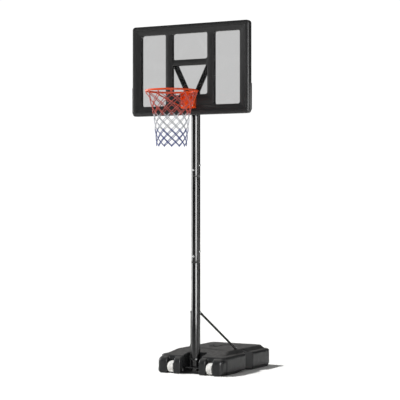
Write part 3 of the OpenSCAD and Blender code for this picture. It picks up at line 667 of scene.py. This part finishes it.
def waistCutter(side):
    # the pinch in one side, its tip rounded
    t = tank
    mid = (t["waistFront"] + t["waistBack"]) / 2
    piece = block("waistCut", (min(side * t["waistDeep"], side * 0.33), t["waistFront"], -0.02),
                  (max(side * t["waistDeep"], side * 0.33), t["waistBack"], 0.22))
    isTip = lambda v: abs(v.co.x) < t["waistDeep"] + 1e-4
    resizeVerts(piece, isTip, (1, 2 * t["waistTip"] / (t["waistBack"] - t["waistFront"]), 1), (0, mid, 0))
    bevelEdges(piece, lambda e: runsAlong(e, 2) and isTip(e.verts[0]), t["waistCorner"], 4)
    return piece


def buildTank():
    t = tank
    body = taperedBody()
    boolean(body, [deck()], "UNION")
    for side in (-1, 1):
        for low, high in t["lobes"]:
            boolean(body, [lobe(*sorted((side * low, side * high)))], "UNION")
    cutters = []
    for side in (-1, 1):
        cutters += wellCutters(side)
        cutters.append(waistCutter(side))
        # upright flutes that stiffen the sides of the pole's recess
        for y in t["flutes"]:
            x = side * t["recessHalf"]
            cutters.append(rod("recessFlute", (x, y, 0.024), (x, y, 0.2), t["fluteRadius"], 20))
    half = t["recessHalf"]
    recess = block("poleRecess", (-half, -0.2, t["tongueTop"]), (half, t["recessBack"], 0.25))
    bevelEdges(recess, lambda e: runsAlong(e, 2), t["recessCorner"], 4)
    cutters.append(recess)
    cutters.append(block("recessMouth", (-half, -0.2, -0.01),
                         (half, t["tongueFront"], t["tongueTop"] + 0.002)))
    # a long low arch under the base, from side to side
    r = ((t["archLength"] / 2) ** 2 + t["archRise"] ** 2) / (2 * t["archRise"])
    axisZ = t["archRise"] - r
    cutters.append(rod("archCut", (-0.4, t["archY"], axisZ), (0.4, t["archY"], axisZ), r, 128))
    filler = (t["fillerX"], t["fillerY"])
    cutters.append(rod("fillerCut", (*filler, 0.14), (*filler, 0.3), t["fillerRadius"], 48))
    for x, y, long, wide, deep in t["dishes"]:
        dish = block("deckDish", (x - wide / 2, y - long / 2, t["top"] - deep),
                     (x + wide / 2, y + long / 2, t["top"] + 0.02))
        bevelEdges(dish, lambda e: runsAlong(e, 2), wide * 0.45, 8)
        cutters.append(dish)
    # groove that the axle snaps into
    cutters.append(block("axleGroove", (-t["grooveHalf"], t["axleY"] - t["grooveWide"] / 2, -0.01),
                         (t["grooveHalf"], t["axleY"] + t["grooveWide"] / 2, t["axleZ"])))
    # finger grip along the back edge
    grip = block("backGrip", *t["grip"])
    bevelEdges(grip, lambda e: runsAlong(e, 1), t["gripCorner"], 5)
    cutters.append(grip)
    boolean(body, cutters)
    applyModifier(body, "REMESH", mode="VOXEL", voxel_size=t["voxel"], adaptivity=0, use_smooth_shade=True)
    applyModifier(body, "SMOOTH", factor=0.5, iterations=3)
    body.name = body.data.name = "ballastTank"
    focus(body)
    bpy.ops.object.shade_smooth()
    return body


fit(buildTank(), "base", "tank_plastic", "base_tank")
print("tank built")


# wheels, and the hardware that keeps its exact shape

wheel = {
    "radius": 0.050, "half": 0.0275, "bore": 0.0061, "hub": 0.0131, "web": 0.0025, "rimDepth": 0.013,
    "crown": 0.0008, "spokes": 6, "spokeHalf": 0.0015, "spokeInset": 0.008, "spokeEdge": 0.0007,
}


def mirrored(half):
    # an outline closed by the mirror image of its lower half
    return half + [(x, -z) for x, z in reversed(half)] + half[:1]


def buildWheel():
    w = wheel
    r, h = w["radius"], w["half"]
    inner = r - w["rimDepth"]
    # a rounded tread with a fine mould line round its middle
    treadShape = mirrored([
        (inner, -h + 0.001), (inner + 0.001, -h), (r - 0.007, -h), (r - 0.0035, -h + 0.001),
        (r - 0.001, -h + 0.0035), (r - w["crown"], -h + 0.007), (r - 0.0002, -0.0012), (r - 0.0008, -0.0006)])
    hubShape = mirrored([(w["bore"], -h), (w["hub"] - 0.001, -h), (w["hub"], -h + 0.001)])
    webShape = mirrored([(w["hub"] - 0.0005, -w["web"]), (inner + 0.0005, -w["web"])])
    parts = [lathe("tread", treadShape, steps=72), lathe("hub", hubShape, steps=40),
             lathe("web", webShape, steps=72)]
    for number in range(w["spokes"]):
        spoke = block("spoke", (w["hub"] - 0.0006, -w["spokeHalf"], -h + w["spokeInset"]),
                      (inner + 0.0006, w["spokeHalf"], h - w["spokeInset"]))
        bevelEdges(spoke, lambda e: runsAlong(e, 0), w["spokeEdge"], 2)
        spoke.rotation_euler = (0, 0, math.radians(360 / w["spokes"] * number))
        parts.append(settle(spoke, "spoke"))
    return join("wheel", parts)


wheelModel = buildWheel()
for side, name, body in ((-1, "Left", "left_wheel"), (1, "Right", "right_wheel")):
    copy = wheelModel.copy()
    copy.data = wheelModel.data.copy()
    bpy.context.scene.collection.objects.link(copy)
    copy.rotation_euler = (0, side * math.pi / 2, 0)
    copy.location = (side * tank["wheelX"], tank["axleY"], tank["axleZ"])
    settle(copy, "wheel" + name)
    smoothShade(copy, 40)
    fit(copy, body, "wheel_plastic", "wheel_" + name.lower())
bpy.data.objects.remove(wheelModel)

refined = (
    ("axle_rod", "axleRod", "pole_paint", 0.001),
    ("axle_washers", "axleWashers", "zinc_steel", 0.0003),
    ("fill_cap", "fillerCap", "trim_plastic", 0.0008),
    ("fill_cap_seal", "fillerSeal", "seal_rubber", 0.0004),
    ("pole_strap", "poleStrap", "pole_paint", 0.0006),
    ("pole_strap_bolts", "poleStrapBolts", "zinc_steel", 0.0006),
    ("pole_foot_cap", "poleFootCap", "trim_plastic", 0.0008),
    ("strut_left", "strutLeft", "pole_paint", 0.0006),
    ("strut_right", "strutRight", "pole_paint", 0.0006),
    ("strut_pole_bolt", "strutPoleBolt", "zinc_steel", 0.0008),
    ("strut_foot_bolts", "strutFootBolts", "zinc_steel", 0.0008),
    ("mid_clamp_screws", "midClampScrews", "zinc_steel", 0.0006),
    ("upper_clamp_screws", "upperClampScrews", "zinc_steel", 0.0006),
    ("pole_top_cap", "poleTopCap", "trim_plastic", 0.001),
    ("board_bracket", "boardBracket", "pole_paint", 0.0008),
    ("bracket_pole_bolts", "bracketPoleBolts", "zinc_steel", 0.0008),
    ("board_brace_left", "boardBraceLeft", "pole_paint", 0.0006),
    ("board_brace_right", "boardBraceRight", "pole_paint", 0.0006),
    ("brace_spacers", "braceSpacers", "trim_plastic", 0.0005),
    ("brace_bolts", "braceBolts", "zinc_steel", 0.0006),
    ("backboard_panel", "clearPanel", "panel_plastic", 0.0004),
    ("panel_screws", "panelScrews", "zinc_steel", 0.0004),
    ("edge_guard_left", "edgeGuardLeft", "trim_plastic", 0.0018),
    ("edge_guard_right", "edgeGuardRight", "trim_plastic", 0.0018),
    ("rim_bracket", "rimBracket", "rim_paint", 0.0012),
    ("rim_brace_left", "rimBraceLeft", "rim_paint", 0.0004),
    ("rim_brace_right", "rimBraceRight", "rim_paint", 0.0004),
    ("net_hooks", "netHooks", "rim_paint", 0.0),
    ("rim_bolts", "rimBolts", "zinc_steel", 0.0006),
    ("rim_nuts", "rimNuts", "zinc_steel", 0.0006),
)
for node, name, slot, edge in refined:
    fit(refinedCopy(node, name, edge), nodes[node]["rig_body"], slot, node)
print("hardware refined:", len(refined))


# the pole's three tubes

pole = {
    "radius": 0.038, "bore": 0.036, "neck": 0.0356, "neckBore": 0.0336, "swage": 0.014,
    "foot": 0.022, "lowSeam": 0.945, "highSeam": 1.670, "neckLength": 0.450, "top": 2.375,
    "gap": 0.0003, "edge": 0.0008,
    # depth of a shallow pressed ring, at distances below the joint
    "ring": ((0, 0.022), (0.0009, 0.0195), (0.0009, 0.0165), (0, 0.014)),
}


def neckedTube(name, foot, seam):
    p = pole
    neckTop = seam + p["neckLength"]
    outline = [
        (p["bore"], foot), (p["radius"] - p["edge"], foot), (p["radius"], foot + p["edge"]),
        *[(p["radius"] - deep, seam - below) for deep, below in p["ring"]],
        (p["radius"], seam - p["edge"]), (p["radius"] - p["edge"], seam), (p["neck"], seam),
        (p["neck"], neckTop - p["edge"]), (p["neck"] - p["edge"], neckTop), (p["neckBore"], neckTop),
        (p["neckBore"], seam - p["swage"] / 2), (p["bore"], seam - p["swage"]), (p["bore"], foot)]
    return smoothShade(lathe(name, outline, steps=72), 25)


def plainTube(name, low, high):
    p = pole
    outline = [
        (p["bore"], low), (p["radius"] - p["edge"], low), (p["radius"], low + p["edge"]),
        (p["radius"], high - p["edge"]), (p["radius"] - p["edge"], high), (p["bore"], high), (p["bore"], low)]
    return smoothShade(lathe(name, outline, steps=72), 25)


lowerPole = neckedTube("lowerPole", pole["foot"], pole["lowSeam"])
midPole = neckedTube("midPole", pole["lowSeam"] + pole["gap"], pole["highSeam"])
upperPole = plainTube("upperPole", pole["highSeam"] + pole["gap"], pole["top"])
fit(lowerPole, "base", "pole_paint", "lower_pole")
fit(midPole, "mid_section", "pole_paint", "mid_pole")
fit(upperPole, "upper_section", "pole_paint", "upper_pole")
print("pole built")


# the backboard's moulded frame

board = {
    "half": 0.560, "bottom": 2.169, "top": 2.931, "front": -0.1145, "back": -0.0645, "field": -0.1085,
    "corner": 0.028, "roll": 0.011, "bead": 0.038, "wall": 0.004, "panelFront": -0.0695,
    "windowRadius": 0.018, "fieldCorner": 0.008, "slope": 0.004,
    # X and Z limits of the windows
    "windows": ((-0.475, -0.230, 2.249, 2.854), (0.230, 0.475, 2.249, 2.854),
                (-0.170, 0.170, 2.633, 2.854), (-0.170, 0.170, 2.338, 2.584)),
    "rimBolts": [(sx * 0.0505, z) for sx in (-1, 1) for z in (2.246, 2.329)],
    "braceBolts": [(sx * 0.170, 2.6085) for sx in (-1, 1)],
    "rimBoss": 0.011, "braceBoss": 0.010, "boltHole": 0.0042, "edge": 0.0014,
    "ribHalf": 0.001, "ribBack": 0.002,
    # heights and X limits of the ribs across the uprights, then X of those across the top and bottom members
    "ribHeights": (2.30, 2.43, 2.56, 2.69, 2.82),
    "ribSpans": ((-0.58, -0.474), (-0.231, -0.169), (0.169, 0.231), (0.474, 0.58)),
    "ribPlaces": (-0.42, -0.32, -0.14, 0.14, 0.32, 0.42),
}


def windowBlock(limits, grow, front, back):
    x0, x1, z0, z1 = limits
    piece = block("windowCut", (x0 - grow, front, z0 - grow), (x1 + grow, back, z1 + grow))
    bevelEdges(piece, lambda e: runsAlong(e, 1), board["windowRadius"] + grow, 6)
    return piece


def buildFrame():
    b = board
    body = block("backboardFrame", (-b["half"], b["front"], b["bottom"]), (b["half"], b["back"], b["top"]))
    bevelEdges(body, lambda e: runsAlong(e, 1), b["corner"], 8)
    onFront = lambda v: v.co.y < b["front"] + 1e-4
    bevelEdges(body, lambda e: all(onFront(v) for v in e.verts), b["roll"], 5)
    # the face steps back inside the raised bead, with sloping sides
    field = block("fieldCut", (-b["half"] + b["bead"], b["front"] - 0.006, b["bottom"] + b["bead"]),
                  (b["half"] - b["bead"], b["field"], b["top"] - b["bead"]))
    bevelEdges(field, lambda e: runsAlong(e, 1), b["fieldCorner"], 5)
    centre = (0, 0, (b["bottom"] + b["top"]) / 2)
    grow = b["slope"] / (b["half"] - b["bead"])
    resizeVerts(field, lambda v: v.co.y < b["front"], (1 + grow, 1, 1 + grow * 1.5), centre)
    # the hollow behind the face, with walls round the windows, bosses and ribs left standing
    w = b["wall"]
    hollowFront, hollowBack = b["field"] + w, b["back"] + 0.01
    half, low, high = b["half"] - w, b["bottom"] + w, b["top"] - w
    hollow = block("frameHollow", (-half, hollowFront, low), (half, hollowBack, high))
    bevelEdges(hollow, lambda e: runsAlong(e, 1), b["corner"] - w, 6)
    standing = [windowBlock(limits, w, hollowFront - 0.01, hollowBack + 0.01) for limits in b["windows"]]
    boss = lambda x, z, r: rod("boss", (x, hollowFront - 0.01, z), (x, b["panelFront"], z), r, 32)
    standing += [boss(x, z, b["rimBoss"]) for x, z in b["rimBolts"]]
    standing += [boss(x, z, b["braceBoss"]) for x, z in b["braceBolts"]]
    ribBack, thick = b["panelFront"] - b["ribBack"], b["ribHalf"]
    rib = lambda x0, x1, z0, z1: block("rib", (x0, hollowFront - 0.01, z0), (x1, ribBack, z1))
    for z in b["ribHeights"]:
        for x0, x1 in b["ribSpans"]:
            # the inner uprights begin at the foot of the lower middle window
            if z > b["windows"][-1][2] or abs(x0) > 0.4:
                standing.append(rib(x0, x1, z - thick, z + thick))
    for x in b["ribPlaces"]:
        standing.append(rib(x - thick, x + thick, 2.853, 2.94))
        standing.append(rib(x - thick, x + thick, 2.16, 2.25))
    boolean(hollow, standing)
    seat = block("panelSeat", (-half, b["panelFront"], low), (half, hollowBack, high))
    bevelEdges(seat, lambda e: runsAlong(e, 1), b["corner"] - w, 6)
    cutters = [field, hollow, seat]
    cutters += [windowBlock(limits, 0, b["front"] - 0.02, b["back"] + 0.02) for limits in b["windows"]]
    cutters += [rod("boltHole", (x, b["front"] - 0.01, z), (x, b["back"] + 0.01, z), b["boltHole"], 24)
                for x, z in b["rimBolts"]]
    boolean(body, cutters)
    cleanMesh(body, 2e-5)
    applyModifier(body, "BEVEL", width=b["edge"], segments=2, limit_method="ANGLE",
                  angle_limit=math.radians(40), use_clamp_overlap=True)
    return smoothShade(body, 35)


fit(buildFrame(), "upper_section", "frame_plastic", "backboard_frame")
print("backboard frame built")


# the rim

rim = {
    "height": 2.350, "radius": 0.210, "bar": 0.008, "beads": 9, "weld": 0.0022, "webHalf": 0.040,
    # the two rods under the rim: where they leave it, in degrees, where they end, and how thick they are
    "rodTurn": 19, "rodEnd": (0.055, -0.1395, 2.234), "rodRadius": 0.004,
}


def ripples(points, segments, rings):
    # overlapping weld ripples at the given points
    parts = []
    for point in points:
        deselectAll()
        bpy.ops.mesh.primitive_uv_sphere_add(
            segments=segments, ring_count=rings, radius=rim["weld"], location=point)
        parts.append(settle(bpy.context.object, "ripple"))
    return parts


def buildRing():
    r = rim
    deselectAll()
    bpy.ops.mesh.primitive_torus_add(
        major_segments=120, minor_segments=24, major_radius=r["radius"], minor_radius=r["bar"],
        location=(0, net["centreY"], r["height"]))
    ring = settle(bpy.context.object, "ringBar")
    # the butt weld where the bar's two ends meet, at the back under the bracket
    weld, back = [], net["centreY"] + r["radius"]
    for number in range(10):
        around = number / 10 * 2 * math.pi
        out, up = math.cos(around) * r["bar"] * 0.93, math.sin(around) * r["bar"] * 0.93
        weld.append((0.012 + 0.0004 * (number % 3), back + out, r["height"] + up))
    return smoothShade(join("rimRing", [ring] + ripples(weld, 12, 8)), 60)


def buildWelds():
    r, parts = rim, []
    for side in (-1, 1):
        # where each web of the bracket meets the bar
        angle = math.acos(r["webHalf"] / r["radius"])
        outward = Vector((side * math.cos(angle), math.sin(angle), 0))
        centre = Vector((side * math.cos(angle) * r["radius"], net["centreY"] + math.sin(angle) * r["radius"],
                         r["height"]))
        line = []
        for number in range(r["beads"]):
            turn = math.radians(-70 + 115 * number / (r["beads"] - 1))
            offset = Vector((side * 0.0015, 0, math.sin(turn) * r["bar"]))
            line.append(centre + outward * math.cos(turn) * r["bar"] + offset)
        parts += ripples(line, 10, 7)
    return smoothShade(join("rimWelds", parts), 60)


fit(buildRing(), "upper_section", "rim_paint", "rim_ring")
fit(buildWelds(), "upper_section", "rim_paint")
print("rim built")


# the net

def netRadius(share):
    shape = net["shape"]
    for (a, ra), (b, rb) in zip(shape, shape[1:]):
        if share <= b:
            return ra + (rb - ra) * (share - a) / (b - a)
    return shape[-1][1]


def rowHeight(row):
    # rows are further apart near the top
    share = row / net["rows"]
    fall = (1 + net["crowding"]) * share - net["crowding"] * share * share
    return net["top"] - (net["top"] - net["bottom"]) * fall


def netPoint(step, row):
    # step counts hooks round the ring; it need not be whole
    z = rowHeight(row)
    share = (net["top"] - z) / (net["top"] - net["bottom"])
    angle = 2 * math.pi * step / net["hooks"]
    r = netRadius(share)
    return Vector((math.cos(angle) * r, net["centreY"] + math.sin(angle) * r, z))


rods = []
rodTurn = math.radians(rim["rodTurn"])
for side in (-1, 1):
    leave = (side * rim["radius"] * math.cos(rodTurn), net["centreY"] + rim["radius"] * math.sin(rodTurn),
             rim["height"])
    endX, endY, endZ = rim["rodEnd"]
    rods.append((Vector(leave), Vector((side * endX, endY, endZ))))


def clearOfRods(point, reach):
    # moves a point out to the given distance from the two rods
    for start, end in rods:
        along = (end - start).normalized()
        near = start + along * min(max((point - start).dot(along), 0), (end - start).length)
        away = point - near
        if away.length < reach:
            point = near + away.normalized() * reach
    return point


def tube(path, radius, sides, closed=False):
    # vertices, faces and UVs of a cord along a path
    verts, faces, uvs = [], [], []
    count = len(path)
    lengths = [0]
    for a, b in zip(path, path[1:]):
        lengths.append(lengths[-1] + (b - a).length)
    for number, point in enumerate(path):
        before = path[(number - 1) % count] if closed else path[max(number - 1, 0)]
        after = path[(number + 1) % count] if closed else path[min(number + 1, count - 1)]
        along = (after - before).normalized()
        across = along.cross(Vector((0, 0, 1)))
        across = across.normalized() if across.length > 1e-4 else Vector((1, 0, 0))
        lift = across.cross(along).normalized()
        for side in range(sides):
            around = 2 * math.pi * side / sides
            verts.append(point + (across * math.cos(around) + lift * math.sin(around)) * radius)
    turns = count if closed else count - 1
    for number in range(turns):
        first, second = number * sides, (number + 1) % count * sides
        v0 = lengths[number]
        v1 = lengths[number + 1] if number + 1 < count else lengths[-1] + (path[0] - path[-1]).length
        for side in range(sides):
            nextSide = (side + 1) % sides
            faces.append((first + side, first + nextSide, second + nextSide, second + side))
            u0, u1 = side / sides * net["weaveRound"], (side + 1) / sides * net["weaveRound"]
            w0, w1 = v0 * net["weaveAlong"], v1 * net["weaveAlong"]
            uvs += [(u0, w0), (u1, w0), (u1, w1), (u0, w1)]
    if not closed:
        for start, ring in ((0, range(sides)), ((count - 1) * sides, reversed(range(sides)))):
            faces.append(tuple(start + side for side in reversed(list(ring))))
            uvs += [(0, 0)] * sides
    return verts, faces, uvs


def buildNet():
    random.seed(11)
    n = net
    places = 2 * n["hooks"]
    verts, faces, uvs = [], [], []

    def add(part):
        base = len(verts)
        verts.extend(part[0])
        faces.extend(tuple(base + i for i in face) for face in part[1])
        uvs.extend(part[2])

    jitter = {}
    for row in range(1, n["rows"] + 1):
        for place in range(places):
            jitter[(place, row)] = Vector([random.uniform(-1, 1) for axis in range(3)]) * n["unevenness"]

    # cords run down in both directions, cross at each row of knots and end in pairs at the foot
    for hook in range(n["hooks"]):
        for sense in (-1, 1):
            path = []
            for index in range(n["rows"] * n["pointsPerRow"] + 1):
                row = index / n["pointsPerRow"]
                point = netPoint(hook + sense * row / 2, row)
                whole, part = int(row), row - int(row)
                here = jitter.get(((2 * hook + sense * whole) % places, whole), Vector())
                there = jitter.get(((2 * hook + sense * (whole + 1)) % places, whole + 1), Vector())
                point += here * (1 - part) + there * part
                # the two cords lie side by side where they cross, and sag a little in between
                outward = Vector((point.x, point.y - n["centreY"], 0)).normalized()
                if 0 < row < n["rows"]:
                    point += outward * (n["cross"] * sense * math.cos(math.pi * row))
                point += outward * n["sag"] * math.sin(math.pi * part)
                path.append(clearOfRods(point, rim["rodRadius"] + n["cord"] + n["clear"]))
            add(tube(path, n["cord"], n["cordSides"]))
    # a loop over each hook
    for hook in range(n["hooks"]):
        angle = 2 * math.pi * hook / n["hooks"]
        outward = Vector((math.cos(angle), math.sin(angle), 0))
        around = Vector((-math.sin(angle), math.cos(angle), 0))
        centre = Vector((0, n["centreY"], 0)) + outward * rim["radius"] + Vector((0, 0, n["top"]))
        loop = []
        for number in range(16):
            turn = 2 * math.pi * number / 16
            lift = Vector((0, 0, math.sin(turn) * n["loopHigh"] - n["loopInset"]))
            loop.append(centre + outward * -n["loopInset"] + around * math.cos(turn) * n["loopWide"] + lift)
        add(tube(loop, n["cord"] * n["loopCord"], n["loopSides"], closed=True))
    mesh = bpy.data.meshes.new("net")
    mesh.from_pydata([tuple(v) for v in verts], [], faces)
    layer = mesh.uv_layers.new(name="UVMap")
    for index, uv in enumerate(uvs):
        layer.data[index].uv = uv
    obj = bpy.data.objects.new("net", mesh)
    bpy.context.scene.collection.objects.link(obj)

    # one knot, copied to each crossing
    deselectAll()
    bpy.ops.mesh.primitive_torus_add(major_segments=8, minor_segments=6, major_radius=n["knot"] * 0.55,
                                     minor_radius=n["knot"] * 0.5)
    knotModel = bpy.context.object
    parts = [obj]
    for row in range(1, n["rows"] + 1):
        for hook in range(n["hooks"]):
            place = 2 * hook + row % 2
            knot = netPoint(place / 2, row) + jitter[(place % places, row)]
            copy = knotModel.copy()
            copy.data = knotModel.data.copy()
            bpy.context.scene.collection.objects.link(copy)
            copy.location = clearOfRods(knot, rim["rodRadius"] + n["knot"] + n["knotClear"])
            tilt, bearing = random.uniform(-0.4, 0.4), math.pi * place / n["hooks"]
            copy.rotation_euler = (math.pi / 2, tilt, bearing + math.pi / 2)
            parts.append(copy)
    bpy.data.objects.remove(knotModel)
    for copy in parts[1:]:
        focus(copy)
        bpy.ops.object.transform_apply(location=True, rotation=True, scale=True)
    whole = join("net", parts)
    focus(whole)
    bpy.ops.object.shade_smooth()
    return whole


fit(buildNet(), "upper_section", "net_cord", "net")
print("net knotted")

# the key light is held back only by the floor and by the base's pieces, the lower pole apart
blockers = bpy.data.collections.new("keyBlockers")
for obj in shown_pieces():
    rides = body_of(obj)
    if rides and rides[0] in ("base", "left_wheel", "right_wheel") and obj.name != "lowerPole":
        blockers.objects.link(obj)
blockers.objects.link(floor)
key.light_linking.blocker_collection = blockers
